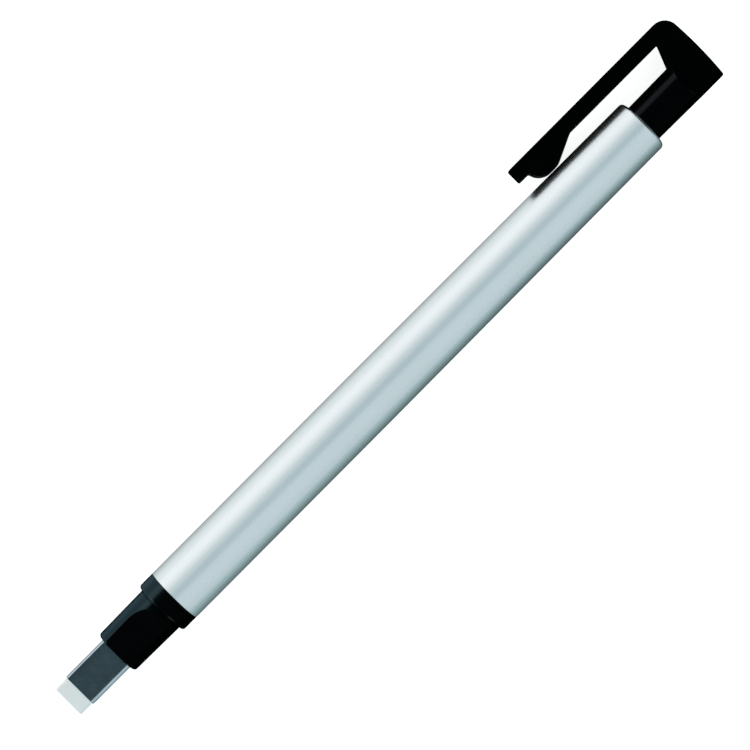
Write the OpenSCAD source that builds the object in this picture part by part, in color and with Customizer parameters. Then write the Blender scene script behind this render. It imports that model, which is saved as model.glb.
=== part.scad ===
// Retractable eraser in the form of a pen. A thin flat stick of white rubber is fed out of a steel
// guide by pushing the knob at the other end, and the knob and the pocket clip are one moulding.
// The barrel's axis is X, with the rubber toward -X and the knob toward +X. The clip is on the
// +Y side and +Z is up. The origin is on the axis, at the barrel's front edge. Sizes are in mm.

/* [Rubber stick] */
// Width of the rubber stick, a nominal 5 mm
eraser_w = 4.9; // [4.5:0.1:5]
// Thickness of the rubber stick, a nominal 2.5 mm
eraser_t = 2.45; // [2.1:0.05:2.6]
// Radius of the stick's long edges
eraser_edge_r = 0.4; // [0.3:0.05:0.6]
// Length of a fresh stick
eraser_len = 70; // [60:1:80]
// How far the stick stands out of its guide
eraser_out = 2.2; // [0.5:0.1:6]

/* [Barrel] */
// Length of the barrel
barrel_len = 89.1; // [84:0.1:105]
// Outer diameter of the straight front stretch
barrel_d = 8.35; // [8.3:0.05:8.8]
// Length of the straight front stretch
barrel_straight = 38; // [20:1:60]
// Outer diameter at the rear end
barrel_rear_d = 8.05; // [7.95:0.05:8.3]
// Wall of the straight front stretch
barrel_wall = 0.475; // [0.4:0.025:0.5]
// Radius of the rolled rear edge
barrel_roll_r = 0.55; // [0.3:0.05:0.7]
// Thickness of the lip at the rear end
barrel_lip_t = 0.6; // [0.4:0.1:1]

/* [Nose] */
// Length of the nose in front of its flange
nose_len = 8.4; // [7:0.1:11]
// Diameter at the nose's front end
nose_front_d = 6.82; // [6.6:0.02:7]
// Diameter where the nose meets its flange
nose_root_d = 7.05; // [6.9:0.05:7.4]
// Length of the flange
flange_len = 2.5; // [1.5:0.1:4]
// Diameter of the flange
flange_d = 8.33; // [8:0.01:8.35]
// Radius of the front edges of the nose and the flange
nose_edge_r = 0.4; // [0.2:0.05:0.5]
// Distance across the two flats on the nose
flats_t = 5.36; // [5:0.02:5.6]
// Length of the flats before they run out
flats_len = 4.3; // [3:0.1:5]
// Radius of the hollow curve in which the flats run out
flats_runout_r = 6.4; // [4:0.2:8]

/* [Guide and brake] */
// How far the steel guide stands out of the nose
guide_out = 7; // [4:0.1:9]
// Wall of the steel guide
guide_wall = 0.12; // [0.1:0.01:0.14]
// How far the guide's turned rim stands out all round
guide_rim = 0.45; // [0.3:0.05:0.5]
// Thickness of the guide's turned rim
guide_rim_t = 0.4; // [0.2:0.05:0.5]
// How far the brake's pocket reaches in front of the barrel
pocket_depth = 2.2; // [1.8:0.1:2.4]
// Wall of the nose round the brake
pocket_wall = 0.385; // [0.3:0.005:0.45]
// Length of the rubber brake
brake_len = 2.9; // [2:0.1:4]

/* [Chuck] */
// Travel of the knob and the chuck
knock_travel = 4; // [3:0.1:5]
// Travel of the clutch ring before the nose stops it
ring_travel = 1.6; // [1.2:0.1:2]
// How far each jaw opens at its tip
jaw_open = 0.22; // [0.1:0.02:0.24]
// Half angle of the cone that closes the jaws
cone_angle = 8; // [7:0.5:10]
// Length of the jaws' head in front of the cone
head_len = 2.7; // [2.2:0.1:4]
// How far the head stands above the legs
head_rise = 0.45; // [0.4:0.05:0.5]
// Depth of the chamfer on the head's front
head_chamfer = 0.3; // [0.1:0.05:0.4]
// Width of each leg of the chuck
leg_w = 4.2; // [3.6:0.1:4.6]
// How far the legs' outside lies below the chuck's tube
leg_relief = 0.3; // [0.25:0.05:0.35]
// How far the legs' inside lies back from the stick behind the gripping face
leg_hollow = 0.15; // [0.05:0.05:0.2]
// Number of grooves in each gripping face
grip_grooves = 4; // [2:1:5]
// Depth of the grooves
grip_groove = 0.15; // [0.1:0.01:0.2]
// Wall of the chuck's tube beside the stick's corners
chuck_wall = 0.36; // [0.3:0.02:0.4]
// Thickness of the chuck's spring flange
chuck_flange_t = 1.2; // [0.8:0.1:2]
// Length of the chuck's plug in the refill tube
chuck_plug_len = 5.8; // [4:0.2:9]

/* [Clutch ring and collar] */
// Length of the clutch ring
ring_len = 2.6; // [2:0.1:3.2]
// How far the ring's front face lies behind the start of the jaws' cone
ring_setback = 0.3; // [0.2:0.05:0.5]
// How deep the ring's cone goes below the head's radius
ring_bite = 0.2; // [0.15:0.05:0.25]
// Length of the collar behind the ring
collar_len = 4; // [3:0.5:6]
// Bore of the collar
collar_bore_d = 6; // [5.9:0.05:6.2]

/* [Spring] */
// Length of the spring at rest
spring_len = 11.8; // [10:0.2:16]
// Diameter of the spring's wire
spring_wire_d = 0.4; // [0.3:0.05:0.4]
// Number of turns
spring_turns = 7; // [5:1:9]

/* [Refill tube] */
// Wall of the tube at its ends, round the plugs
socket_wall = 0.4; // [0.35:0.05:0.5]
// Room between the stick's corners and the tube
tube_play = 0.26; // [0.15:0.01:0.3]
// Room between the tube's rear end and the barrel's lip
tube_end_gap = 2; // [1:0.1:4]

/* [Knob] */
// Length of the knob's plug in the refill tube
knob_plug_len = 8; // [6:0.5:12]
// Diameter of the stem where it leaves the refill tube
stem_front_d = 5.78; // [5.6:0.02:5.9]
// Diameter of the stem at the slab
stem_rear_d = 5.99; // [5.7:0.01:6.1]
// Length of stem that shows between the barrel and the slab
stem_show = 7.65; // [6:0.05:12]
// Diameter of the hollow core of the plug and the stem
knob_core_d = 3.8; // [3:0.1:4.4]
// How far in front of the slab the hollow core ends
knob_core_stop = 2; // [1.5:0.1:4]
// Thickness of the slab and the clip, across the pen
slab_w = 3.6; // [3:0.1:5]
// Length of the slab along the pen, at the stem
slab_len = 4.85; // [4:0.05:6]
// Slope of the stem's two flanks where they run down to the slab
flank_angle = 32; // [25:1:45]
// Radius of the outer corner between the clip and the slab
cap_corner_r = 2.2; // [1:0.1:2.4]
// Radius of the slab's crowned end
cap_crown_r = 60; // [40:5:120]

/* [Clip] */
// Length of the clip from its front end to the slab's rear face
clip_len = 29.95; // [26:0.05:34]
// Thickness of the clip arm
clip_t = 2.28; // [1.6:0.02:2.6]
// Gap between the clip arm and the barrel's rear end
clip_gap = 2.065; // [1.6:0.005:2.6]
// Lean of the slab's front edge under the clip
clip_lean = 1.15; // [0.4:0.05:1.5]
// Distance from the clip's front end to the front of the bump's foot
bump_from_end = 4.2; // [3:0.1:6]
// Length of the bump's flat foot along the barrel
bump_flat = 0.7; // [0.2:0.1:2]
// Radius of the bump in front of and behind its foot
bump_r = 2.35; // [2.3:0.01:3]
// Slope of the ramp behind the bump
ramp_angle = 25; // [18:0.5:35]
// Radius of the clip's front corners
clip_corner_r = 0.25; // [0.1:0.05:0.6]

/* [Fits] */
// Clearance of the stick in each hole it passes through, on each side
stick_gap = 0.03; // [0.01:0.01:0.04]
// Clearance of parts pressed or glued together, on the radius
press_gap = 0.015; // [0.01:0.005:0.02]
// Clearance of the two plugs in the refill tube, on the radius
plug_gap = 0.02; // [0.01:0.01:0.05]
// Clearance of the clutch ring in the barrel, on the radius
ring_gap = 0.08; // [0.05:0.01:0.1]
// Clearance of the refill tube in the barrel, on the radius
tube_gap = 0.2; // [0.15:0.01:0.25]
// Clearance of the knob's plug in the barrel's lip, on the radius
lip_gap = 0.07; // [0.04:0.01:0.1]
// Clearance between the jaws' cone and the ring
cone_gap = 0.02; // [0.01:0.01:0.04]
// Room that is left round the chuck's head at the end of its travel
head_clear = 0.45; // [0.3:0.05:0.8]
// Room round the open jaws inside the nose
skirt_gap = 0.05; // [0.03:0.01:0.08]
// Face clearance between parts that bear on each other
face_gap = 0.02; // [0.01:0.01:0.05]
// Gap at the root of each flexing leg and of the flexing clip
flex_gap = 0.05; // [0.03:0.01:0.1]
// Clearance between the clip's bump and the barrel
bump_gap = 0.06; // [0.04:0.01:0.1]

/* [Hidden] */
$fn = 96;
// Overshoot of a cutting shape past the surface that it cuts
over = 0.5;
// Rings of the spring's tube in one turn, and its sides
spring_rings = 16;
spring_sides = 6;

// The hole that the stick passes through, in every part that it crosses
hole_w = eraser_w + 2 * stick_gap;
hole_t = eraser_t + 2 * stick_gap;
hole_r = eraser_edge_r + stick_gap;
hole_reach = norm([hole_w / 2 - hole_r, hole_t / 2 - hole_r]) + hole_r;

// Radii, from the barrel inwards and from the stick outwards
barrel_r = barrel_d / 2;
barrel_rear_r = barrel_rear_d / 2;
bore_r = barrel_r - barrel_wall;
tube_r = bore_r - tube_gap;
socket_r = tube_r - socket_wall;
plug_r = socket_r - plug_gap;
lip_r = plug_r + lip_gap;
tube_bore_r = hole_reach + tube_play;
chuck_r = hole_reach + chuck_wall;
leg_r = chuck_r - leg_relief;
head_r = leg_r + head_rise;
skirt_r = head_r + jaw_open + skirt_gap;
ring_r = bore_r - ring_gap;
ring_bore_r = head_r - ring_bite;
spigot_r = bore_r - press_gap;
pocket_r = spigot_r - pocket_wall;
spring_r = (chuck_r + bore_r) / 2;

// Places along the axis, from the nose back to the refill tube
flange_x = -flange_len;
nose_x = flange_x - nose_len;
guide_x = nose_x - guide_out;
eraser_x = guide_x - eraser_out;
pocket_x = -pocket_depth;
brake_x = pocket_x + guide_rim_t + face_gap;
brake_end_x = brake_x + brake_len;
head_x = brake_end_x + head_clear + knock_travel;
cone_x = head_x + head_len;
cone_len = head_rise / tan(cone_angle);
ring_x = cone_x + ring_setback;
ring_end_x = ring_x + ring_len;
spigot_end_x = ring_x - ring_travel;
collar_x = ring_end_x + face_gap;
collar_end_x = collar_x + collar_len;
chuck_x = collar_end_x + knock_travel + 2 * head_clear;
chuck_flange_x = collar_end_x + spring_len;
tube_x = chuck_flange_x + chuck_flange_t;
chuck_end_x = tube_x + chuck_plug_len;
tube_end_x = barrel_len - barrel_lip_t - tube_end_gap;

// Places along the axis of the knob and the clip
knob_x = tube_end_x - knob_plug_len;
slab_x = barrel_len + stem_show;
cap_x = slab_x + slab_len;
clip_x = cap_x - clip_len;
clip_root_x = slab_x + clip_lean;
bump_x = clip_x + bump_from_end;

// Heights of the knob and the clip above the axis
stem_rear_r = stem_rear_d / 2;
clip_in_y = barrel_rear_r + clip_gap;
clip_out_y = clip_in_y + clip_t;
barrel_slope = (barrel_r - barrel_rear_r) / (barrel_len - barrel_roll_r - barrel_straight);
bump_low_x = max(bump_x - knock_travel - bump_r, barrel_straight);
bump_y = barrel_r - barrel_slope * (bump_low_x - barrel_straight) + bump_gap + bump_r;

// Solid round bar along the axis
module bar(x0, x1, r) {
    translate([x0, 0, 0]) rotate([0, 90, 0]) cylinder(h = x1 - x0, r = r);
}

// Solid cone along the axis
module taper(x0, x1, r0, r1) {
    translate([x0, 0, 0]) rotate([0, 90, 0]) cylinder(h = x1 - x0, r1 = r0, r2 = r1);
}

// Round bar whose edge at x0 is rounded with radius e
module round_front(x0, x1, r, e) {
    bar(x0 + e, x1, r);
    bar(x0, x1, r - e);
    translate([x0 + e, 0, 0]) rotate([0, 90, 0]) rotate_extrude() translate([r - e, 0]) circle(r = e);
}

// Quarter of a disc, for a corner that points toward +X and +Y
module quarter(r) {
    intersection() {
        circle(r = r);
        square(r);
    }
}

// Flat outline with round corners, t across the pen and w along Y
module flat_outline(t, w, r) {
    square([t - 2 * r, w], center = true);
    square([t, w - 2 * r], center = true);
    for (x = [-1, 1], y = [-1, 1]) {
        translate([x * (t / 2 - r), y * (w / 2 - r)]) circle(r = r);
    }
}

// Flat bar along the axis, with round long edges
module flat_bar(x0, x1, t, w, r) {
    translate([x0, 0, 0]) rotate([0, 90, 0]) linear_extrude(height = x1 - x0) flat_outline(t, w, r);
}

// The stick's hole from x0 to x1
module stick_hole(x0, x1) {
    flat_bar(x0, x1, hole_t, hole_w, hole_r);
}

// Outline in X and Z, carried across the pen along Y
module across(w) {
    rotate([90, 0, 0]) linear_extrude(height = w, center = true) children();
}

// Drawn metal tube with a straight front, a slightly tapered rear and an edge rolled inwards
module barrel_tube() {
    roll_x = barrel_len - barrel_roll_r;
    lip_x = barrel_len - barrel_lip_t;
    color([0.78, 0.82, 0.84]) rotate([0, 90, 0]) rotate_extrude() {
        polygon([
            [bore_r, 0],
            [barrel_r, 0],
            [barrel_r, barrel_straight],
            [barrel_rear_r, roll_x],
            [barrel_rear_r - barrel_roll_r, barrel_len],
            [lip_r, barrel_len],
            [lip_r, lip_x],
            [bore_r, lip_x]
        ]);
        translate([barrel_rear_r - barrel_roll_r, roll_x]) quarter(barrel_roll_r);
    }
}

// Space above one flat of the nose: straight, then rising in a hollow curve
module flat_cut() {
    run_x = nose_x + flats_len;
    across(nose_root_d + 2 * over) {
        translate([nose_x - over, flats_t / 2]) square([flats_len + over, flats_runout_r]);
        translate([run_x, flats_t / 2 + flats_runout_r]) circle(r = flats_runout_r);
    }
}

// Moulded nose: front body with two flats, flange against the barrel, and a spigot inside it
module nose_piece() {
    color([0.05, 0.055, 0.06]) difference() {
        union() {
            difference() {
                union() {
                    taper(nose_x + nose_edge_r, 0, nose_front_d / 2, nose_root_d / 2);
                    round_front(nose_x, 0, nose_front_d / 2, nose_edge_r);
                }
                flat_cut();
                mirror([0, 0, 1]) flat_cut();
            }
            round_front(flange_x, 0, flange_d / 2, nose_edge_r);
            bar(flange_x, spigot_end_x, spigot_r);
        }
        flat_bar(
            nose_x - over, 0,
            hole_t + 2 * (guide_wall + press_gap),
            hole_w + 2 * (guide_wall + press_gap),
            hole_r + guide_wall + press_gap
        );
        bar(pocket_x, brake_end_x, pocket_r);
        bar(brake_end_x, spigot_end_x + over, skirt_r);
    }
}

// Thin flat steel tube that guides the rubber, with a rim turned out at its rear end
module guide_sleeve() {
    rim_x = pocket_x + guide_rim_t;
    color([0.42, 0.48, 0.52]) difference() {
        union() {
            flat_bar(guide_x, rim_x, hole_t + 2 * guide_wall, hole_w + 2 * guide_wall, hole_r + guide_wall);
            flat_bar(
                pocket_x + face_gap, rim_x,
                hole_t + 2 * (guide_wall + guide_rim),
                hole_w + 2 * (guide_wall + guide_rim),
                hole_r + guide_wall + guide_rim
            );
        }
        stick_hole(guide_x - over, rim_x + over);
    }
}

// Rubber disc in the nose that holds the stick while the chuck goes back
module eraser_brake() {
    color([0.24, 0.24, 0.25]) difference() {
        bar(brake_x, brake_end_x, pocket_r - press_gap);
        stick_hole(brake_x - over, brake_end_x + over);
    }
}

// Collar pressed into the barrel: the ring's stop in front, the spring's seat behind
module chuck_collar() {
    color([0.85, 0.85, 0.82]) difference() {
        bar(collar_x, collar_end_x, spigot_r);
        bar(collar_x - over, collar_end_x + over, collar_bore_d / 2);
    }
}

// Brass ring whose inner cone squeezes the jaws together
module clutch_ring() {
    cone_end_x = cone_x + ring_bite / tan(cone_angle);
    slope = tan(cone_angle);
    color([0.80, 0.62, 0.28]) difference() {
        bar(ring_x, ring_end_x, ring_r);
        bar(ring_x - over, ring_end_x + over, ring_bore_r + cone_gap);
        taper(
            ring_x - over, cone_end_x,
            ring_bore_r + cone_gap + (cone_end_x - ring_x + over) * slope,
            ring_bore_r + cone_gap
        );
    }
}

// Centre line of the spring, at a share s of its length
function spring_point(s) =
    let (turn = 360 * spring_turns * s)
    [
        collar_end_x + face_gap + spring_wire_d / 2 + s * (spring_len - 2 * face_gap - spring_wire_d),
        spring_r * cos(turn),
        spring_r * sin(turn)
    ];

// One ring of points round the centre line, square to it
function spring_ring(s) =
    let (
        turn = 360 * spring_turns * s,
        rise = (spring_len - 2 * face_gap - spring_wire_d) / (2 * PI * spring_turns),
        along = [rise, -spring_r * sin(turn), spring_r * cos(turn)] / norm([rise, spring_r]),
        out = [0, cos(turn), sin(turn)],
        side = cross(along, out)
    )
    [
        for (k = [0 : spring_sides - 1])
            spring_point(s) + spring_wire_d / 2 * (
                out * cos(360 * k / spring_sides) + side * sin(360 * k / spring_sides)
            )
    ];

// Steel spring round the chuck's tube, one unbroken helix
module return_spring() {
    last = spring_turns * spring_rings;
    points = [for (i = [0 : last]) each spring_ring(i / last)];
    sides = [
        for (i = [0 : last - 1], k = [0 : spring_sides - 1])
            let (
                a = i * spring_sides + k,
                b = i * spring_sides + (k + 1) % spring_sides,
                c = a + spring_sides,
                d = b + spring_sides
            )
            each [[a, b, d], [a, d, c]]
    ];
    caps = [
        for (k = [1 : spring_sides - 2])
            each [[0, k + 1, k], last * spring_sides * [1, 1, 1] + [0, k, k + 1]]
    ];
    color([0.70, 0.72, 0.74]) polyhedron(points = points, faces = concat(sides, caps));
}

// Chuck's tube: carries the two legs in front, the spring flange, and the plug of the refill tube
module chuck_base() {
    color([0.90, 0.90, 0.86]) difference() {
        union() {
            bar(chuck_x, chuck_end_x, chuck_r);
            bar(chuck_flange_x, tube_x, tube_r);
            bar(tube_x, chuck_end_x, plug_r);
        }
        stick_hole(chuck_x - over, chuck_end_x + over);
    }
}

// Outer shape of the jaws, all the way round
module jaw_body() {
    taper(head_x, head_x + head_chamfer, head_r - head_chamfer, head_r);
    bar(head_x + head_chamfer, cone_x, head_r);
    taper(cone_x, cone_x + cone_len, head_r, leg_r);
    bar(cone_x + cone_len, chuck_x - flex_gap, leg_r);
}

// One spring leg of the chuck, with its grooved gripping face toward the stick
module jaw() {
    grip_z = eraser_t / 2 + face_gap;
    leg_z = hole_t / 2 + leg_hollow;
    color([0.90, 0.90, 0.86]) difference() {
        intersection() {
            jaw_body();
            translate([head_x - over, -leg_w / 2, grip_z]) cube([chuck_x - head_x + over, leg_w, head_r]);
        }
        translate([cone_x, -leg_w, 0]) cube([chuck_x - cone_x, 2 * leg_w, leg_z]);
        for (i = [1 : grip_grooves]) {
            translate([head_x + head_len * i / (grip_grooves + 1), 0, grip_z]) rotate([0, 45, 0])
                cube([grip_groove * sqrt(2), 2 * leg_w, grip_groove * sqrt(2)], center = true);
        }
    }
}

module jaw_upper() {
    jaw();
}

module jaw_lower() {
    mirror([0, 0, 1]) jaw();
}

// Tube that carries the stick and joins the chuck to the knob, opened out at both ends
module refill_tube() {
    color([0.86, 0.88, 0.90]) difference() {
        bar(tube_x + face_gap, tube_end_x, tube_r);
        bar(tube_x, tube_end_x + over, tube_bore_r);
        bar(tube_x, chuck_end_x + face_gap, socket_r);
        bar(knob_x - face_gap, tube_end_x + over, socket_r);
    }
}

// Outline of the slab, seen from above
module slab_outline() {
    corner = [cap_x - cap_corner_r, clip_out_y - cap_corner_r];
    intersection() {
        union() {
            difference() {
                polygon([
                    [slab_x, -stem_rear_r],
                    [cap_x, -stem_rear_r],
                    [cap_x, clip_out_y],
                    [clip_root_x, clip_out_y],
                    [clip_root_x, clip_in_y],
                    [slab_x, stem_rear_r]
                ]);
                translate(corner) square(cap_corner_r + over);
            }
            translate(corner) quarter(cap_corner_r);
        }
        translate([cap_x - cap_crown_r, (clip_out_y - stem_rear_r) / 2]) circle(r = cap_crown_r);
    }
}

// Round stem whose upper and lower flanks run down to the slab's faces
module knob_stem() {
    flank_len = (stem_rear_r - slab_w / 2) / tan(flank_angle) + over;
    flank_rise = flank_len * tan(flank_angle);
    intersection() {
        taper(tube_end_x, slab_x + over, stem_front_d / 2, stem_rear_r);
        across(stem_rear_d + 2 * over) polygon([
            [knob_x, -slab_w / 2 - flank_rise],
            [slab_x - flank_len, -slab_w / 2 - flank_rise],
            [slab_x, -slab_w / 2],
            [cap_x, -slab_w / 2],
            [cap_x, slab_w / 2],
            [slab_x, slab_w / 2],
            [slab_x - flank_len, slab_w / 2 + flank_rise],
            [knob_x, slab_w / 2 + flank_rise]
        ]);
    }
}

// Push knob: a hollow plug in the refill tube, the round stem, and the flat slab of the cap
module knob() {
    color([0.05, 0.055, 0.06]) difference() {
        union() {
            bar(knob_x, tube_end_x, plug_r);
            knob_stem();
            linear_extrude(height = slab_w, center = true) slab_outline();
        }
        bar(knob_x - over, slab_x - knob_core_stop, knob_core_d / 2);
    }
}

// Outline of the clip arm, seen from above: arm, bump, and the ramp that touches the bump
module clip_outline() {
    foot_x = bump_x + bump_flat;
    touch = [foot_x + bump_r * sin(ramp_angle), bump_y - bump_r * cos(ramp_angle)];
    ramp_len = (clip_in_y - touch[1]) / tan(ramp_angle);
    corner = clip_corner_r * [1, 1];
    translate([clip_x, clip_in_y]) {
        translate([clip_corner_r, 0]) square([clip_root_x - flex_gap - clip_x - clip_corner_r, clip_t]);
        translate([0, clip_corner_r]) square([2 * clip_corner_r, clip_t - 2 * clip_corner_r]);
        translate(corner) circle(r = clip_corner_r);
        translate([clip_corner_r, clip_t - clip_corner_r]) circle(r = clip_corner_r);
    }
    difference() {
        union() {
            translate([bump_x, bump_y]) circle(r = bump_r);
            translate([foot_x, bump_y]) circle(r = bump_r);
        }
        translate([bump_x - bump_r, clip_in_y + clip_t / 2]) square(2 * bump_r + bump_flat);
    }
    polygon([
        [bump_x, bump_y - bump_r],
        [foot_x, bump_y - bump_r],
        touch,
        [touch[0] + ramp_len, clip_in_y],
        [touch[0] + ramp_len, clip_in_y + clip_t / 2],
        [bump_x, clip_in_y + clip_t / 2]
    ]);
}

// Clip arm, moulded with the knob and parted from it here where it bends
module clip_arm() {
    color([0.05, 0.055, 0.06]) linear_extrude(height = slab_w, center = true) clip_outline();
}

// White stick of rubber, worn flush and square at its tip
module eraser_stick() {
    color([0.88, 0.90, 0.89]) flat_bar(eraser_x, eraser_x + eraser_len, eraser_t, eraser_w, eraser_edge_r);
}

barrel_tube();
nose_piece();
guide_sleeve();
eraser_brake();
chuck_collar();
clutch_ring();
return_spring();
chuck_base();
jaw_upper();
jaw_lower();
refill_tube();
knob();
clip_arm();
eraser_stick();
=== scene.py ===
import math

import bmesh
import bpy
import numpy as np
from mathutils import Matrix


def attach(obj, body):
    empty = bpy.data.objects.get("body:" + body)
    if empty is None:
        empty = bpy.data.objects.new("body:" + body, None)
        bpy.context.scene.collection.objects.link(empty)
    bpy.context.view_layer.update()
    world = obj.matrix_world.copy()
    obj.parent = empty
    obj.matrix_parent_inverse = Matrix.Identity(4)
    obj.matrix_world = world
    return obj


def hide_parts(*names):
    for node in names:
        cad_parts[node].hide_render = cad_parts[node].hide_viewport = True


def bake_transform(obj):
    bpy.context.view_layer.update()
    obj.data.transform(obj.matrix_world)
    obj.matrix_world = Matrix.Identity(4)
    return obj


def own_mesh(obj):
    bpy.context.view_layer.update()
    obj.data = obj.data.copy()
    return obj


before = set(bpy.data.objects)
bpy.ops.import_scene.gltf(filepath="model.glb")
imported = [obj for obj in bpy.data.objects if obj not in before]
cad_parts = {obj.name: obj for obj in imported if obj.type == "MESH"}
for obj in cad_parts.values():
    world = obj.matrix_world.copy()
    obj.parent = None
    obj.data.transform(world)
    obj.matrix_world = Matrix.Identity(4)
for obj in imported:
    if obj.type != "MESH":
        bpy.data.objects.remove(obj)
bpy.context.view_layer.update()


# Barrel.
# A drawn aluminium tube with a satin, silver-anodised skin, the grip of the pen. Its front edge
# is cut square and butts against the nose; the rear edge is rolled inwards round the knob's stem.

def arc(cx, cr, radius, start, end, steps):
    """Points of a circle in the (x, r) plane: centre + radius * (cos a, sin a), a in degrees."""
    a = np.radians(np.linspace(start, end, steps))
    return np.stack([cx + radius * np.cos(a), cr + radius * np.sin(a)], 1)


def path(*parts):
    """One (x, r) profile in millimetres from single points and arcs, in order."""
    return np.concatenate([np.atleast_2d(np.asarray(p, float)) for p in parts])


def turned(profile, around):
    """Sections of a turned surface: every (x, r) of the profile at equal angles round X.
    y = r cos a and z = r sin a."""
    a = np.arange(around) * 2 * math.pi / around
    x = np.repeat(profile[:, :1], around, 1)
    return np.stack([x, profile[:, 1:] * np.cos(a), profile[:, 1:] * np.sin(a)], 2)


def skin(name, sections, closed=False, crease=32):
    """A closed mesh object from sections in millimetres, an array (sections, points round, 3).
    Neighbouring sections are joined with quads. closed joins the last to the first; otherwise a
    fan of triangles from the middle of each end section closes the ends."""
    m, n = sections.shape[:2]
    points = sections.reshape(-1, 3)
    i = np.arange(m if closed else m - 1)[:, None]
    j = np.arange(n)[None, :]
    here, after = i * n + j, i * n + (j + 1) % n
    up, up_after = (i + 1) % m * n + j, (i + 1) % m * n + (j + 1) % n
    faces = np.stack([here, after, up_after, up], 2).reshape(-1, 4).tolist()
    if not closed:
        for ring, row in ((0, sections[0]), (m - 1, sections[-1])):
            points = np.concatenate([points, row.mean(0)[None]])
            a = ring * n + np.arange(n)
            b = ring * n + (np.arange(n) + 1) % n
            faces += np.stack([a, b, np.full(n, len(points) - 1)], 1).tolist()
    mesh = bpy.data.meshes.new(name)
    mesh.from_pydata((points / 1000).tolist(), [], faces)
    return finished(name, mesh, crease)


def finished(name, mesh, crease):
    """The mesh as an object: faces outward, smooth but for edges sharper than crease degrees,
    and normals weighted by area so that the flat faces stay flat up to their rounded edges."""
    whole = bmesh.new()
    whole.from_mesh(mesh)
    bmesh.ops.recalc_face_normals(whole, faces=whole.faces)
    whole.to_mesh(mesh)
    whole.free()
    mesh.shade_smooth()
    mesh.set_sharp_from_angle(angle=math.radians(crease))
    made = bpy.data.objects.new(name, mesh)
    bpy.context.scene.collection.objects.link(made)
    weighted = made.modifiers.new("flat faces stay flat", "WEIGHTED_NORMAL")
    weighted.keep_sharp = True
    return made


# Sizes are in millimetres, here and in the sections on the other pieces. X runs from the barrel's
# front edge toward the knob. The barrel is straight at first, then narrows a little to its rear.
FRONT_R = 4.175
REAR_R = 4.025
BORE_R = 3.7
BARREL_END = 89.1
STRAIGHT_END = 38
FRONT_EDGE = 0.09
ROLL = 0.55
LIP_R = 3.15
LIP_LEN = 0.6
LIP_EDGE = 0.12
LIP_FRONT_EDGE = 0.08
lip_x = BARREL_END - LIP_LEN
straight = np.stack([np.linspace(0.6, STRAIGHT_END, 12), np.full(12, FRONT_R)], 1)
cone_x = np.linspace(STRAIGHT_END + 1, BARREL_END - ROLL - 0.4, 26)
cone_r = np.interp(cone_x, [STRAIGHT_END, BARREL_END - ROLL], [FRONT_R, REAR_R])
barrel = skin(
    "satin_barrel",
    turned(
        path(
            arc(FRONT_EDGE, FRONT_R - FRONT_EDGE, FRONT_EDGE, 180, 90, 6),
            straight,
            np.stack([cone_x, cone_r], 1),
            arc(BARREL_END - ROLL, REAR_R - ROLL, ROLL, 90, 0, 14),
            arc(BARREL_END - LIP_EDGE, LIP_R + LIP_EDGE, LIP_EDGE, 0, -90, 6),
            arc(lip_x + LIP_FRONT_EDGE, LIP_R + LIP_FRONT_EDGE, LIP_FRONT_EDGE, -90, -180, 4),
            (lip_x, BORE_R),
            (0.0, BORE_R),
        ),
        around=256,
    ),
    closed=True,
)


def group(name, inputs, outputs):
    """An empty node group with number inputs {name: default} and named outputs, and its ends."""
    made = bpy.data.node_groups.new(name, "ShaderNodeTree")
    for label, value in inputs.items():
        made.interface.new_socket(label, in_out="INPUT", socket_type="NodeSocketFloat").default_value = value
    for label, kind in outputs.items():
        made.interface.new_socket(label, in_out="OUTPUT", socket_type=kind)
    return made, made.nodes.new("NodeGroupInput"), made.nodes.new("NodeGroupOutput")


def add(tree, kind, **settings):
    """A node in a tree, with its properties and, for keys that name an input, the inputs set."""
    node = tree.nodes.new(kind)
    for key, value in settings.items():
        if hasattr(node, key):
            setattr(node, key, value)
        else:
            node.inputs[key.replace("_", " ")].default_value = value
    return node


def math_node(tree, operation, a, b=None, c=None):
    """A Math node whose operands are sockets or numbers."""
    node = add(tree, "ShaderNodeMath", operation=operation)
    for slot_number, value in enumerate(v for v in (a, b, c) if v is not None):
        if isinstance(value, (int, float)):
            node.inputs[slot_number].default_value = value
        else:
            tree.links.new(value, node.inputs[slot_number])
    return node.outputs[0]


# Fine structure of a surface in object coordinates: a grain of the given size in millimetres,
# drawn out along X by the stretch, and slow clouds of handling over it.
grain_group, grain_in, grain_out = group(
    "grain and clouds",
    {"Size": 0.1, "Stretch": 1.0, "Cloud Size": 6.0},
    {"Grain": "NodeSocketFloat", "Clouds": "NodeSocketFloat"},
)
place = add(grain_group, "ShaderNodeTexCoord").outputs["Object"]
apart = add(grain_group, "ShaderNodeSeparateXYZ")
grain_group.links.new(place, apart.inputs[0])
drawn = add(grain_group, "ShaderNodeCombineXYZ")
grain_group.links.new(
    math_node(grain_group, "DIVIDE", apart.outputs[0], grain_in.outputs["Stretch"]), drawn.inputs[0]
)
grain_group.links.new(apart.outputs[1], drawn.inputs[1])
grain_group.links.new(apart.outputs[2], drawn.inputs[2])
fine = add(grain_group, "ShaderNodeTexNoise", Detail=3.0, Roughness=0.6)
grain_group.links.new(drawn.outputs[0], fine.inputs["Vector"])
grain_group.links.new(
    math_node(grain_group, "DIVIDE", 1000.0, grain_in.outputs["Size"]), fine.inputs["Scale"]
)
slow = add(grain_group, "ShaderNodeTexNoise", Detail=4.0, Roughness=0.55)
grain_group.links.new(
    math_node(grain_group, "DIVIDE", 1000.0, grain_in.outputs["Cloud Size"]), slow.inputs["Scale"]
)
grain_group.links.new(place, slow.inputs["Vector"])
grain_group.links.new(fine.outputs["Fac"], grain_out.inputs["Grain"])
grain_group.links.new(slow.outputs["Fac"], grain_out.inputs["Clouds"])

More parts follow.
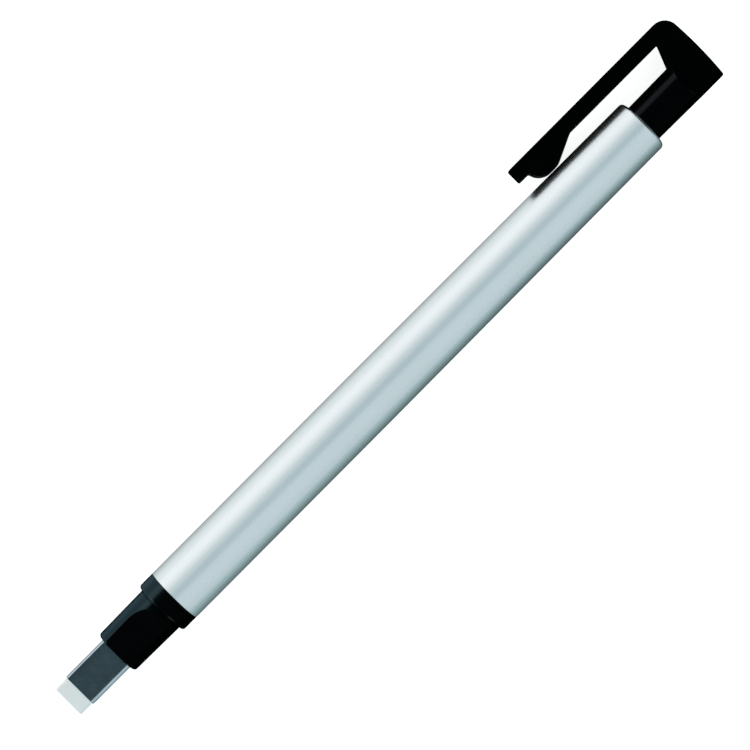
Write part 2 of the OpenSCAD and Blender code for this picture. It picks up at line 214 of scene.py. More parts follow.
# Hair scratches: thin level lines of a stretched noise, only inside scattered patches.
scratch_group, scratch_in, scratch_out = group(
    "hair scratches", {"Size": 1.0, "Width": 0.006}, {"Mask": "NodeSocketFloat"}
)
place = add(scratch_group, "ShaderNodeTexCoord").outputs["Object"]
turn = add(scratch_group, "ShaderNodeMapping", Rotation=(0.0, 0.3, 0.5), Scale=(0.12, 1.0, 1.0))
scratch_group.links.new(place, turn.inputs["Vector"])
lines = add(scratch_group, "ShaderNodeTexNoise", Detail=1.0, Roughness=0.4)
scratch_group.links.new(turn.outputs[0], lines.inputs["Vector"])
scratch_group.links.new(
    math_node(scratch_group, "DIVIDE", 1000.0, scratch_in.outputs["Size"]), lines.inputs["Scale"]
)
level = math_node(scratch_group, "ABSOLUTE", math_node(scratch_group, "SUBTRACT", lines.outputs["Fac"], 0.5))
thin = math_node(
    scratch_group, "SUBTRACT", 1.0, math_node(scratch_group, "DIVIDE", level, scratch_in.outputs["Width"])
)
patch = add(scratch_group, "ShaderNodeTexNoise", Scale=260.0, Detail=2.0, Roughness=0.5)
scratch_group.links.new(place, patch.inputs["Vector"])
where = add(scratch_group, "ShaderNodeMapRange", From_Min=0.58, From_Max=0.66)
scratch_group.links.new(patch.outputs["Fac"], where.inputs["Value"])
scratch_group.links.new(
    math_node(scratch_group, "MULTIPLY", math_node(scratch_group, "MAXIMUM", thin, 0.0), where.outputs[0]),
    scratch_out.inputs["Mask"],
)


def finish_of(
    name, colour, roughness, spread, grain, stretch, relief, scratches=0.0, tone=0.03, cloud=6.0, **sockets
):
    """A material for one finish. Its roughness varies by spread with the grain and the clouds, and
    by scratches along hair lines. grain is the grain's size in millimetres, stretch how far it is
    drawn out along X, and relief its height in metres. The colour varies by the share tone, in
    clouds of the size cloud in millimetres. sockets are Principled input values."""
    made = bpy.data.materials.new(name)
    made.use_nodes = True
    tree = made.node_tree
    surface = tree.nodes["Principled BSDF"]
    for key, value in sockets.items():
        surface.inputs[key.replace("_", " ")].default_value = value
    structure = add(
        tree, "ShaderNodeGroup", node_tree=grain_group, Size=grain, Stretch=stretch, Cloud_Size=cloud
    )
    cast = add(tree, "ShaderNodeMix", data_type="RGBA")
    cast.inputs["A"].default_value = (*(c * (1 - tone) for c in colour), 1.0)
    cast.inputs["B"].default_value = (*(c * (1 + tone) for c in colour), 1.0)
    tree.links.new(structure.outputs["Clouds"], cast.inputs["Factor"])
    tree.links.new(cast.outputs["Result"], surface.inputs["Base Color"])
    uneven = math_node(
        tree, "ADD",
        math_node(tree, "MULTIPLY_ADD", structure.outputs["Grain"], spread, roughness - spread),
        math_node(tree, "MULTIPLY", structure.outputs["Clouds"], spread),
    )
    height = structure.outputs["Grain"]
    if scratches:
        hairs = add(tree, "ShaderNodeGroup", node_tree=scratch_group)
        uneven = math_node(tree, "MULTIPLY_ADD", hairs.outputs["Mask"], scratches, uneven)
        height = math_node(tree, "SUBTRACT", height, hairs.outputs["Mask"])
    tree.links.new(uneven, surface.inputs["Roughness"])
    bump = add(tree, "ShaderNodeBump", Distance=relief)
    tree.links.new(height, bump.inputs["Height"])
    tree.links.new(bump.outputs["Normal"], surface.inputs["Normal"])
    return made


satin = finish_of(
    "satin silver", colour=(0.695, 0.748, 0.770), roughness=0.275, spread=0.04,
    grain=0.12, stretch=3.0, relief=0.7e-6, scratches=0.05, Metallic=1.0,
)
barrel.data.materials.append(satin)
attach(barrel, "barrel")
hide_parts("barrel_tube")


# Nose.
# A black moulded nose pressed into the barrel. Its front body has two flats that run out in a
# hollow curve, a flange as wide as the barrel, and a spigot inside the barrel.

def rounded_min(a, b, k):
    """The smaller of two arrays, with the corner between them rounded over a width k."""
    h = np.clip(0.5 + 0.5 * (b - a) / k, 0, 1)
    return b + (a - b) * h - k * h * (1 - h)


def slot_reach(a, half_w, half_t, r):
    """Distance from the axis to a flat slot's wall in direction a, for half width and thickness
    and corner radius r: the nearer straight wall, or the corner circle where that is met first."""
    c, s = np.abs(np.cos(a)), np.abs(np.sin(a))
    wall = np.minimum(half_w / np.maximum(c, 1e-9), half_t / np.maximum(s, 1e-9))
    cy, cz = half_w - r, half_t - r
    along = c * cy + s * cz
    corner = along + np.sqrt(np.maximum(along ** 2 - cy ** 2 - cz ** 2 + r ** 2, 0))
    return np.where((wall * c > cy) & (wall * s > cz), corner, wall)


NOSE_X = -10.9
NOSE_FRONT_R = 3.41
NOSE_ROOT_R = 3.53
NOSE_EDGE = 0.4
FLANGE_X = -2.5
FLANGE_R = 4.165
FLANGE_REAR_EDGE = 0.06
# The flats' height over the axis, their straight length, and the radius of their hollow run-out
FLAT_Z = 2.68
FLAT_LEN = 4.3
FLAT_EDGE = 0.14
RUNOUT_R = 6.4
# The spigot in the barrel, hollow for the chuck's head, and the brake's pocket in front of that
SPIGOT_R = 3.685
SPIGOT_END = 6.93
SKIRT_R = 3.42
SKIRT_X = 1.12
POCKET_R = 3.3
POCKET_X = -2.2
# The flat slot that the guide is pressed into
SLOT_HALF_W = 2.615
SLOT_HALF_T = 1.39
SLOT_CORNER = 0.565
SLOT_EDGE = 0.1
POINTS_ROUND = 400
angles = np.arange(POINTS_ROUND) * 2 * math.pi / POINTS_ROUND
long_side = np.linspace(NOSE_X + NOSE_EDGE + 0.1, FLANGE_X - 0.30, 60)
# A hair-line groove where the body meets the flange, as (x from the flange, r)
groove = np.array([(-0.20, 3.525), (-0.17, 3.50), (-0.14, 3.43), (-0.03, 3.43), (0.0, 3.46)])
outside = path(
    arc(NOSE_X + NOSE_EDGE, NOSE_FRONT_R - NOSE_EDGE, NOSE_EDGE, 180, 90, 16),
    np.stack([long_side, np.interp(long_side, [NOSE_X, FLANGE_X], [NOSE_FRONT_R, NOSE_ROOT_R])], 1),
    groove + (FLANGE_X, 0.0),
    arc(FLANGE_X + NOSE_EDGE, FLANGE_R - NOSE_EDGE, NOSE_EDGE, 180, 90, 10),
    (-0.25, FLANGE_R),
    arc(-FLANGE_REAR_EDGE, FLANGE_R - FLANGE_REAR_EDGE, FLANGE_REAR_EDGE, 90, 0, 4),
    (0.0, SPIGOT_R),
    (SPIGOT_END, SPIGOT_R),
    (SPIGOT_END, SKIRT_R),
    (SKIRT_X, SKIRT_R),
    (SKIRT_X, POCKET_R),
    (POCKET_X, POCKET_R),
)
x, r = outside[:, :1], np.repeat(outside[:, 1:], len(angles), 1)
front = np.clip(FLAT_EDGE - (x - NOSE_X), 0, FLAT_EDGE)
flat = FLAT_Z - FLAT_EDGE + np.sqrt(FLAT_EDGE ** 2 - front ** 2)
run = np.clip(x - (NOSE_X + FLAT_LEN), 0, RUNOUT_R)
flat = flat + RUNOUT_R - np.sqrt(RUNOUT_R ** 2 - run ** 2)
reach = flat / np.maximum(np.abs(np.sin(angles)), 1e-6)
body = x < FLANGE_X - 0.001
r = np.where(body, rounded_min(r, reach, FLAT_EDGE), r)
hole = slot_reach(angles, SLOT_HALF_W, SLOT_HALF_T, SLOT_CORNER)
mouth = SLOT_EDGE * np.array([[1.0, 0.0], [0.3, 0.3], [0.0, 1.0]])
inner_x = np.append(POCKET_X, NOSE_X + mouth[:, 0])
inner_r = hole[None, :] + np.append(0.0, mouth[:, 1])[:, None]
face_r = (inner_r[-1] + r[0]) / 2
x = np.concatenate([x[:, 0], inner_x, [NOSE_X]])
r = np.concatenate([r, inner_r, face_r[None]])
nose_sections = np.stack([np.repeat(x[:, None], len(angles), 1), r * np.cos(angles), r * np.sin(angles)], 2)
nose = skin("moulded_nose", nose_sections, closed=True, crease=38)
BLACK = (0.0016, 0.0019, 0.0022)
black = finish_of(
    "black moulding", colour=BLACK, roughness=0.22, spread=0.05,
    grain=0.10, stretch=1.0, relief=1.2e-6, scratches=0.10, tone=0.2, IOR=1.45,
)
nose.data.materials.append(black)
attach(nose, "barrel")
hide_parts("nose_piece")


# Guide.
# A thin flat tube of drawn stainless steel, held in the nose by a rim turned out at its rear end.
# The rubber slides in it.

def flat_ring(half_w, half_t, r, corner_points=9, side_points=6):
    """Outline of a rounded rectangle round X as (points, 2) of (y, z): four corner arcs and the
    straight sides between them, every ring with the same number of points."""
    a = np.radians(np.linspace(0, 90, corner_points))
    y, z = half_w - r + r * np.cos(a), half_t - r + r * np.sin(a)
    corners = [
        np.stack([y, z], 1), np.stack([-y, z], 1)[::-1], np.stack([-y, -z], 1), np.stack([y, -z], 1)[::-1]
    ]
    share = np.arange(1, side_points)[:, None] / side_points
    ring = []
    for k in range(4):
        start, end = corners[k][-1], corners[(k + 1) % 4][0]
        ring += [corners[k], start + (end - start) * share]
    return np.concatenate(ring)


def flat_sections(profile, half_w, half_t, r):
    """Sections of a flat bar or tube round X: at each (x, grow) of the profile, the rounded
    rectangle moved outwards by grow, its corner radius no less than 0.06 mm."""
    rings = np.array([flat_ring(half_w + g, half_t + g, max(r + g, 0.06)) for g in profile[:, 1]])
    x = np.repeat(profile[:, :1], rings.shape[1], 1)[:, :, None]
    return np.concatenate([x, rings], 2)


GUIDE_X = -17.9
GUIDE_WALL = 0.12
RIM_X = -2.18
RIM_END = -1.8
RIM_OUT = 0.45
HOLE_HALF_W = 2.48
HOLE_HALF_T = 1.255
HOLE_CORNER = 0.43
guide_profile = path(
    arc(GUIDE_X + 0.05, 0.05, 0.05, 270, 180, 4) + (0.0, 0.0),
    arc(GUIDE_X + 0.07, GUIDE_WALL - 0.07, 0.07, 180, 90, 6),
    np.stack([np.linspace(GUIDE_X + 0.3, RIM_X - 0.42, 20), np.full(20, GUIDE_WALL)], 1),
    (RIM_X, GUIDE_WALL),
    (RIM_X, GUIDE_WALL + RIM_OUT),
    (RIM_END, GUIDE_WALL + RIM_OUT),
    (RIM_END, 0.0),
)
guide_sections = flat_sections(guide_profile, HOLE_HALF_W, HOLE_HALF_T, HOLE_CORNER)
guide = skin("steel_guide", guide_sections, closed=True, crease=40)
steel = finish_of(
    "drawn steel", colour=(0.46, 0.54, 0.59), roughness=0.18, spread=0.07,
    grain=0.09, stretch=6.0, relief=1.0e-6, scratches=0.12, tone=0.25, cloud=1.6, Metallic=1.0,
)
guide.data.materials.append(steel)
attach(guide, "barrel")
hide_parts("guide_sleeve")


# Rubber stick.
# A flat stick of off-white elastomer that slides in the guide, the brake and the chuck. Its tip
# is cut square and has just begun to wear round.

STICK_X = -20.1
STICK_LEN = 70.0
STICK_HALF_W = 2.45
STICK_HALF_T = 1.225
STICK_CORNER = 0.4
TIP_EDGE = 0.2
REAR_EDGE = 0.12
stick_end = STICK_X + STICK_LEN
tip = path(
    (STICK_X, -0.95),
    (STICK_X, -0.60),
    (STICK_X + 0.01, -0.32),
    arc(STICK_X + TIP_EDGE, -TIP_EDGE, TIP_EDGE, 180, 90, 8),
    (STICK_X + 0.5, 0.0),
)
stick_profile = path(
    tip,
    np.stack([np.linspace(STICK_X + 0.8, stick_end - 0.3, 60), np.zeros(60)], 1),
    arc(stick_end - REAR_EDGE, -REAR_EDGE, REAR_EDGE, 90, 0, 5),
    (stick_end, -0.95),
)
stick_sections = flat_sections(stick_profile, STICK_HALF_W, STICK_HALF_T, STICK_CORNER)
stick = skin("rubber_stick", stick_sections, crease=50)
rubber = finish_of(
    "white elastomer", colour=(0.86, 0.885, 0.875), roughness=0.62, spread=0.10,
    grain=0.16, stretch=1.0, relief=4.0e-6, Subsurface_Weight=0.25, Subsurface_Scale=0.0006, IOR=1.45,
)
stick.data.materials.append(rubber)
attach(stick, "stick")
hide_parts("eraser_stick")


# Knob's stem.
# The round stem of the black push knob, hollow from its front end. It is pushed into the refill
# tube and runs down in two flanks to the flat cap, with which it is one moulding.

PLUG_X = 78.5
PLUG_END = 86.5
PLUG_R = 3.08
PLUG_FRONT_EDGE = 0.2
PLUG_REAR_EDGE = 0.1
HOLLOW_R = 1.9
HOLLOW_END = 94.75
HOLLOW_EDGE = 0.2
MOUTH_EDGE = 0.08
STEM_FRONT_R = 2.89
STEM_R = 2.995
# The cap's front edge, and the end of the stem inside the cap
SLAB_X = 96.75
SLAB_HALF = 1.8
STEM_END = 97.3
# The flanks meet the cap's faces at FLANK_X and rise from there at FLANK_SLOPE degrees
FLANK_X = 96.9
FLANK_SLOPE = 65
FLANK_EDGE = 0.10
# The stem's sections stand close together where the flanks are near
close_x = SLAB_X - 1.0
stem_x = np.concatenate([
    np.linspace(PLUG_END + 0.2, close_x - 0.05, 14),
    np.linspace(close_x + 0.05, STEM_END - 0.1, 48),
])
stem_profile = path(
    (HOLLOW_END, 0.3),
    arc(HOLLOW_END - HOLLOW_EDGE, HOLLOW_R - HOLLOW_EDGE, HOLLOW_EDGE, 0, 90, 4),
    (PLUG_X + 0.5, HOLLOW_R),
    arc(PLUG_X + 0.1, HOLLOW_R + MOUTH_EDGE, MOUTH_EDGE, 270, 180, 4),
    arc(PLUG_X + PLUG_FRONT_EDGE, PLUG_R - PLUG_FRONT_EDGE, PLUG_FRONT_EDGE, 180, 90, 6),
    (PLUG_X + 0.9, PLUG_R),
    (PLUG_END - 0.3, PLUG_R),
    arc(PLUG_END - PLUG_REAR_EDGE, PLUG_R - PLUG_REAR_EDGE, PLUG_REAR_EDGE, 90, 0, 5),
    np.stack([stem_x, np.interp(stem_x, [PLUG_END, SLAB_X], [STEM_FRONT_R, STEM_R])], 1),
    (STEM_END, 1.2),
    (STEM_END, 0.3),
)
x, r = stem_profile[:, :1], np.repeat(stem_profile[:, 1:], len(angles), 1)
flank = SLAB_HALF + (FLANK_X - x) * math.tan(math.radians(FLANK_SLOPE))
reach = flank / np.maximum(np.abs(np.sin(angles)), 1e-6)
r = np.where((x > PLUG_END) & (r > HOLLOW_R), rounded_min(r, reach, FLANK_EDGE), r)
stem_sections = np.stack([np.repeat(x, len(angles), 1), r * np.cos(angles), r * np.sin(angles)], 2)
stem = skin("knob_stem", stem_sections, crease=38)
glossy_black = finish_of(
    "glossy black", colour=BLACK, roughness=0.16, spread=0.04,
    grain=0.10, stretch=1.0, relief=1.0e-6, scratches=0.10, tone=0.2, IOR=1.45,
)
stem.data.materials.append(glossy_black)
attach(stem, "push_knob")
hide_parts("knob")


# Cap and clip.
# The flat cap of the push knob and the pocket clip, one rigid black plate with rounded edges. On the pen
# the clip bends at its root; here it does not. A round bump near its front end stands a hair clear of the
# barrel.

def plate(name, outline, half, edge, crease):
    """A flat plate from a closed counter-clockwise outline in plan, with edges rounded by edge.
    Each level is the outline moved inwards by inset: a quarter circle up from the rim to the
    faces, and one narrow step inside so that the faces shade flat."""
    ahead, behind = np.roll(outline, -1, 0) - outline, outline - np.roll(outline, 1, 0)
    ahead /= np.linalg.norm(ahead, axis=1)[:, None]
    behind /= np.linalg.norm(behind, axis=1)[:, None]
    normal = np.stack([(ahead + behind)[:, 1], -(ahead + behind)[:, 0]], 1)
    normal /= np.linalg.norm(normal, axis=1)[:, None]
    mitre = normal / np.maximum((normal * np.stack([ahead[:, 1], -ahead[:, 0]], 1)).sum(1), 0.5)[:, None]
    a = np.radians(np.linspace(0, 90, 7))
    upper = np.stack([half - edge + edge * np.sin(a), edge * (1 - np.cos(a))], 1)
    levels = np.concatenate([[[half, edge + 0.05]], upper[::-1], upper * (-1, 1), [[-half, edge + 0.05]]])
    rows = [np.column_stack([outline - mitre * inset, np.full(len(outline), z)]) for z, inset in levels]
    n, m = len(outline), len(levels)
    i, j = np.arange(m - 1)[:, None], np.arange(n)[None, :]
    k = (j + 1) % n
    faces = np.stack([i * n + j, i * n + k, (i + 1) * n + k, (i + 1) * n + j], 2).reshape(-1, 4).tolist()
    faces += [list(range(n)), list(range((m - 1) * n, m * n))]
    mesh = bpy.data.meshes.new(name)
    mesh.from_pydata((np.concatenate(rows) / 1000).tolist(), [], faces)
    return finished(name, mesh, crease)


# The clip's front end, its inner and outer face, and the window's rear end under it
CLIP_X = 71.77
CLIP_IN = 6.09
CLIP_OUT = 8.37
ROOT_X = 97.9
TIP_R = 0.28
WINDOW_R = 0.1
# The bump: two arcs with a short flat between them, and a ramp that touches the rear one
BUMP_X = 75.85
BUMP_FLAT = 0.7
BUMP_Y = 6.491
BUMP_R = 2.35
RAMP = 25.0
# The cap's end is slightly crowned, round at its outer corner and nearly sharp at the other
CAP_X = 101.6
CROWN_R = 60
CROWN_Y = 2.68
CORNER_R = 2.2
LOWER_R = 0.32
PLATE_EDGE = 0.22
ramp = math.radians(RAMP)
touch = (BUMP_X + BUMP_FLAT + BUMP_R * math.sin(ramp), BUMP_Y - BUMP_R * math.cos(ramp))
ramp_top = touch[0] + (CLIP_IN - touch[1]) / math.tan(ramp)
notch = BUMP_X - math.sqrt(BUMP_R ** 2 - (BUMP_Y - CLIP_IN) ** 2)
notch_angle = 180 + math.degrees(math.asin((BUMP_Y - CLIP_IN) / BUMP_R))
crown_y = np.linspace(-STEM_R + 0.395, CLIP_OUT - CORNER_R - 0.07, 24)
crown = np.stack([CAP_X - CROWN_R + np.sqrt(CROWN_R ** 2 - (crown_y - CROWN_Y) ** 2), crown_y], 1)
outline = path(
    (SLAB_X, -STEM_R),
    np.stack([np.linspace(SLAB_X + 0.85, CAP_X - 0.70, 8), np.full(8, -STEM_R)], 1),
    arc(CAP_X - 0.25 - LOWER_R, -STEM_R + LOWER_R, LOWER_R, -90, 0, 8),
    crown,
    arc(CAP_X - 0.10 - CORNER_R, CLIP_OUT - CORNER_R, CORNER_R, 2, 90, 22),
    np.stack([np.linspace(CAP_X - 0.20 - CORNER_R, CLIP_X + TIP_R + 0.25, 60), np.full(60, CLIP_OUT)], 1),
    arc(CLIP_X + TIP_R, CLIP_OUT - TIP_R, TIP_R, 90, 180, 7),
    arc(CLIP_X + TIP_R, CLIP_IN + TIP_R, TIP_R, 180, 270, 7),
    np.stack([np.linspace(CLIP_X + 0.5, notch - 0.15, 4), np.full(4, CLIP_IN)], 1),
    arc(BUMP_X, BUMP_Y, BUMP_R, notch_angle + 3, 270, 24),
    arc(BUMP_X + BUMP_FLAT, BUMP_Y, BUMP_R, 270, 270 + RAMP, 9),
    np.linspace(touch, (ramp_top, CLIP_IN), 12)[1:-1],
    np.stack([np.linspace(ramp_top + 0.1, ROOT_X - 0.35, 40), np.full(40, CLIP_IN)], 1),
    arc(ROOT_X - 0.06, CLIP_IN - WINDOW_R, WINDOW_R, 90, -20, 9),
    np.linspace((ROOT_X + 0.015, CLIP_IN - 0.19), (SLAB_X + 0.05, STEM_R + 0.15), 12),
    np.stack([np.full(12, SLAB_X), np.linspace(STEM_R, -STEM_R + 0.4, 12)], 1),
)
clip = plate("cap_and_clip", outline, half=SLAB_HALF, edge=PLATE_EDGE, crease=40)
clip_black = finish_of(
    "clip black", colour=BLACK, roughness=0.18, spread=0.04,
    grain=0.10, stretch=1.0, relief=1.0e-6, scratches=0.10, tone=0.2, IOR=1.3,
)
clip.data.materials.append(clip_black)
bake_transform(clip)
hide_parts("knob", "clip_arm")


# Return spring.
# Seven turns of bright round wire between the collar and the chuck's flange. It pushes the chuck
# back. On the pen it shortens toward the collar when the knob is pushed; here it is drawn at rest and moves
# with the barrel.

def coil(start, end, radius, wire_r, turns, sides=16):
    """Sections of a round wire wound round X from start to end: the centre runs on
    (x, radius cos a, radius sin a), and each section is a circle square to that path."""
    a = np.linspace(0, turns * 2 * math.pi, turns * 48 + 1)[:, None]
    x = start + (end - start) * a / a[-1]
    no_x = np.zeros_like(a)
    centre = np.concatenate([x, radius * np.cos(a), radius * np.sin(a)], 1)
    out = np.concatenate([no_x, np.cos(a), np.sin(a)], 1)
    rise = (end - start) / (turns * 2 * math.pi)
    side = np.concatenate([no_x + radius, rise * np.sin(a), -rise * np.cos(a)], 1) / math.hypot(radius, rise)
    k = (np.arange(sides) * 2 * math.pi / sides)[None, :, None]
    return centre[:, None] + wire_r * (out[:, None] * np.cos(k) + side[:, None] * np.sin(k))


SPRING_X = 15.19
SPRING_END = 26.99
SPRING_R = 3.35
SPRING_GAP = 0.03
WIRE_R = 0.2
TURNS = 7
first, last = SPRING_X + SPRING_GAP + WIRE_R, SPRING_END - SPRING_GAP - WIRE_R
spring = skin("return_coil", coil(first, last, SPRING_R, WIRE_R, TURNS), crease=50)
wire = finish_of(
    "spring wire", colour=(0.60, 0.62, 0.64), roughness=0.24, spread=0.08,
    grain=0.06, stretch=3.0, relief=1.0e-6, Metallic=1.0,
)
spring.data.materials.append(wire)
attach(spring, "barrel")
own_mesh(spring)
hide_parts("return_spring")


# Works inside.
# Inside the barrel: the rubber brake, the collar, the brass clutch ring, the chuck with its two
# jaws, and the milky tube that carries the stick.

inside = {
    "eraser_brake": finish_of(
        "dark rubber", colour=(0.05, 0.05, 0.052), roughness=0.75, spread=0.10,
        grain=0.12, stretch=1.0, relief=3.0e-6,
    ),
    "chuck_collar": finish_of(
        "natural acetal", colour=(0.80, 0.80, 0.74), roughness=0.42, spread=0.08,
        grain=0.20, stretch=1.0, relief=2.0e-6,
    ),
    "clutch_ring": finish_of(
        "turned brass", colour=(0.80, 0.58, 0.24), roughness=0.26, spread=0.10,
        grain=0.05, stretch=0.2, relief=2.0e-6, Metallic=1.0,
    ),
    "refill_tube": finish_of(
        "milky polypropylene", colour=(0.72, 0.76, 0.78), roughness=0.40, spread=0.08,
        grain=0.25, stretch=4.0, relief=2.0e-6, Subsurface_Weight=0.3, Subsurface_Scale=0.001,
    ),
}
for part in ("chuck_base", "jaw_upper", "jaw_lower"):
    inside[part] = inside["chuck_collar"]
for part, look in inside.items():
    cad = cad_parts[part]
    cad.data.materials.clear()
    cad.data.materials.append(look)


# Table, light and camera.
# The pen lies on a plain white table in a dim studio. Panels above, beside and round the camera
# light the pale parts, and so does the bright table, drawn as flat lights. The black parts have
# weaker lamps of their own, as if flagged off.

# Sizes and places from here on are in metres, except where a function's text says millimetres.
# The barrel's front lies on the table.
REST_Z = -FRONT_R / 1000
TABLE_HALF = 2.0
CELLS = 8
TABLE_GLOW = 0.80
STUDIO_LEVEL = 0.03
table_mesh = bpy.data.meshes.new("table_top")
edge = np.linspace(-TABLE_HALF, TABLE_HALF, CELLS + 1)
grid = np.stack(np.meshgrid(edge, edge, indexing="ij"), 2).reshape(-1, 2)
cell = (np.arange(CELLS)[:, None] * (CELLS + 1) + np.arange(CELLS)[None, :]).reshape(-1, 1)
corners = [0, CELLS + 1, CELLS + 2, 1]
table_mesh.from_pydata(
    np.column_stack([grid, np.full(len(grid), REST_Z)]).tolist(), [], (cell + corners).tolist()
)
table = bpy.data.objects.new("table_top", table_mesh)
bpy.context.scene.collection.objects.link(table)
paper = bpy.data.materials.new("white paper")
paper.use_nodes = True
tree = paper.node_tree
sheet_surface = tree.nodes["Principled BSDF"]
sheet_surface.inputs["Roughness"].default_value = 0.9
sheet_surface.inputs["Specular IOR Level"].default_value = 0.0
sheet_surface.inputs["Emission Color"].default_value = (1.0, 0.98, 0.96, 1.0)
# The camera sees the paper bright. Reflections see it nearly black, because the flat lights that
# lie on it stand in for it there.
seen = add(tree, "ShaderNodeLightPath")
bare = add(tree, "ShaderNodeMix", data_type="RGBA")
bare.inputs["A"].default_value = (0.74, 0.84, 0.86, 1.0)
bare.inputs["B"].default_value = (0.003, 0.003, 0.003, 1.0)
tree.links.new(seen.outputs["Is Glossy Ray"], bare.inputs["Factor"])
tree.links.new(bare.outputs["Result"], sheet_surface.inputs["Base Color"])
tree.links.new(
    math_node(tree, "MULTIPLY", seen.outputs["Is Camera Ray"], TABLE_GLOW),
    sheet_surface.inputs["Emission Strength"],
)
table.data.materials.append(paper)

world = bpy.data.worlds.new("studio")
bpy.context.scene.world = world
world.use_nodes = True
tree = world.node_tree
studio = tree.nodes["Background"]
# The camera sees plain white past the table. The pieces get only a faint blue from there.
seen = add(tree, "ShaderNodeLightPath")
air = add(tree, "ShaderNodeMix", data_type="RGBA")
air.inputs["A"].default_value = (0.55, 0.90, 1.0, 1.0)
air.inputs["B"].default_value = (1.0, 1.0, 1.0, 1.0)
tree.links.new(seen.outputs["Is Camera Ray"], air.inputs["Factor"])
tree.links.new(air.outputs["Result"], studio.inputs["Color"])
tree.links.new(
    math_node(tree, "MULTIPLY_ADD", seen.outputs["Is Camera Ray"], 1 - STUDIO_LEVEL, STUDIO_LEVEL),
    studio.inputs["Strength"],
)


def panel(name, width, height, radiance, colour, place, turn, only):
    """A rectangular area light of even radiance, out of the camera's sight, that lights only the
    given pieces. Power = radiance * pi * area."""
    light = bpy.data.lights.new(name, "AREA")
    light.shape = "RECTANGLE"
    light.size, light.size_y = width, height
    light.energy = radiance * math.pi * width * height
    light.color = colour
    made = bpy.data.objects.new(name, light)
    made.location, made.rotation_euler = place, turn
    made.visible_camera = False
    bpy.context.scene.collection.objects.link(made)
    lit = bpy.data.collections.new(name + " lights")
    for piece in only:
        lit.objects.link(piece)
    made.light_linking.receiver_collection = lit
    return light


def softbox(name, start, end, radiance, colour, only):
    """A panel with its long side along X that fills the directions from start to end, in degrees
    from straight up toward +Y."""
    middle, distance = math.radians((start + end) / 2), 0.7
    width = 2 * distance * math.tan(math.radians(end - start) / 2)
    place = (-0.25, distance * math.sin(middle), distance * math.cos(middle))
    panel(name, 2.0, width, radiance, colour, place, (-middle, 0.0, 0.0), only)


# How far from the axis the clip's shade on the table reaches
SHADE_Y = 0.0105


def floor_light(name, side, level, near, fades, colour, only, shade_x=1.0):
    """A panel that covers the table on one side of the pen, 1 for the clip's, and faces up. Its
    radiance at y millimetres from the axis is level (1 - exp(-(y - near) / fade)), with one fade
    at the barrel's front and one at its rear. From shade_x metres on toward the knob it is black
    up to SHADE_Y, where the clip shades the table."""
    place = (-0.25, side * (near / 1000 + 0.45), REST_Z + 0.0001)
    light = panel(name, 2.0, 0.9, 1.0, colour, place, (math.pi, 0.0, 0.0), only)
    light.use_nodes = True
    tree = light.node_tree
    spot = add(tree, "ShaderNodeSeparateXYZ")
    tree.links.new(add(tree, "ShaderNodeNewGeometry").outputs["Position"], spot.inputs[0])
    fade = add(
        tree, "ShaderNodeMapRange",
        From_Min=0.0, From_Max=BARREL_END / 1000, To_Min=-fades[0] / 1000, To_Max=-fades[1] / 1000,
    )
    tree.links.new(spot.outputs["X"], fade.inputs["Value"])
    away = math_node(tree, "MULTIPLY", spot.outputs["Y"], side)
    depth = math_node(tree, "DIVIDE", math_node(tree, "SUBTRACT", away, near / 1000), fade.outputs[0])
    glow = math_node(tree, "MULTIPLY_ADD", math_node(tree, "EXPONENT", depth), -level, level)
    shaded = math_node(
        tree, "MULTIPLY",
        math_node(tree, "GREATER_THAN", spot.outputs["X"], shade_x),
        math_node(tree, "LESS_THAN", away, SHADE_Y),
    )
    tree.links.new(
        math_node(tree, "MULTIPLY", glow, math_node(tree, "SUBTRACT", 1.0, shaded)),
        tree.nodes["Emission"].inputs["Strength"],
    )


def corner_panel(name, azimuth, radiance, only):
    """A square panel that looks down at the pen from an azimuth in degrees from +X toward +Y."""
    around, up, distance = math.radians(azimuth), math.radians(18), 0.9
    flat = distance * math.cos(up)
    place = (0.04 + flat * math.cos(around), flat * math.sin(around), distance * math.sin(up))
    turn = (math.pi / 2 - up, 0.0, around + math.pi / 2)
    panel(name, 0.4, 0.4, radiance, (1.0, 1.0, 1.0), place, turn, only)


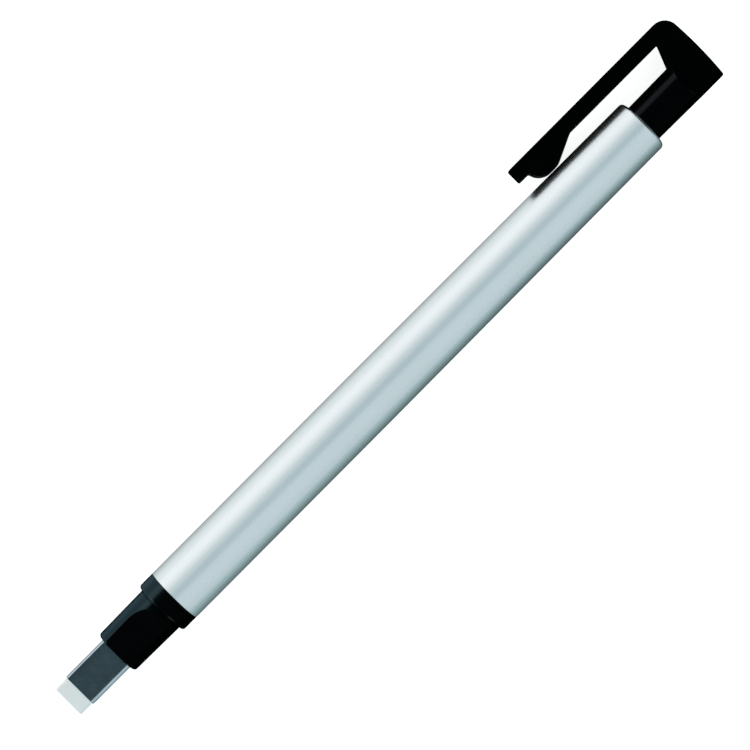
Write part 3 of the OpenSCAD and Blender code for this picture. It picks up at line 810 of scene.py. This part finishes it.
pale = (barrel, stick, table)
bright = (barrel, stick, guide)
black_parts = (nose, stem, clip)
works = (spring,) + tuple(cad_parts[part] for part in inside)
softbox("key softbox", 47, 80, 1.21, (1.0, 0.98, 0.975), pale + (guide,) + works)
softbox("lower edge of the key", 80, 90, 1.10, (1.0, 0.98, 0.975), pale)
softbox("upper edge of the key", 30, 47, 1.03, (0.98, 0.99, 0.99), pale)
softbox("overhead panel", 11, 30, 0.80, (0.93, 1.0, 1.0), pale)
softbox("panel round the camera", -13, 11, 0.64, (0.83, 1.0, 1.03), pale)
softbox("far panel", -62, -13, 0.82, (0.90, 1.0, 1.03), pale + (guide,))
softbox("lower edge of the far panel", -90, -62, 0.765, (0.90, 1.0, 1.03), pale + (guide,))
softbox("dim panel over the guide", -13, 47, 0.062, (0.56, 0.90, 1.0), (guide, stick))
floor_light("table on the clip's side", 1, 1.05, 2.1, (7.75, 7.75), (0.96, 1.0, 0.99), bright, shade_x=0.0725)
floor_light("table beyond the pen", -1, 0.60, 3.0, (11, 17), (0.765, 1.02, 1.03), bright)
softbox("lamp on the nose", 48, 74, 1.2, (0.54, 1.0, 1.13), (nose,))
softbox("lower edge of the nose's lamp", 74, 90, 0.68, (0.53, 1.0, 1.25), (nose,))
floor_light("table beside the nose", 1, 0.65, 6.5, (3, 3), (0.53, 1.0, 1.2), (nose,))
softbox("lamp on the knob", 47, 77, 0.31, (0.93, 1.0, 1.18), (stem, clip))
for azimuth in (45, 135, 225, 315):
    corner_panel(f"corner panel {azimuth}", azimuth, 0.8, black_parts)

# The camera looks straight down with a long lens, turned so that the pen runs up to the right.
camera_data = bpy.data.cameras.new("camera")
camera_data.lens = 164.6
camera_data.sensor_width = 36.0
camera_data.clip_start = 0.01
camera_data.clip_end = 20.0
camera = bpy.data.objects.new("camera", camera_data)
camera.location = (0.03991, 0.00175, 0.460)
camera.rotation_euler = (0.0, 0.0, math.radians(-45.15))
bpy.context.scene.collection.objects.link(camera)
bpy.context.scene.camera = camera
bpy.context.scene.view_settings.view_transform = "Standard"
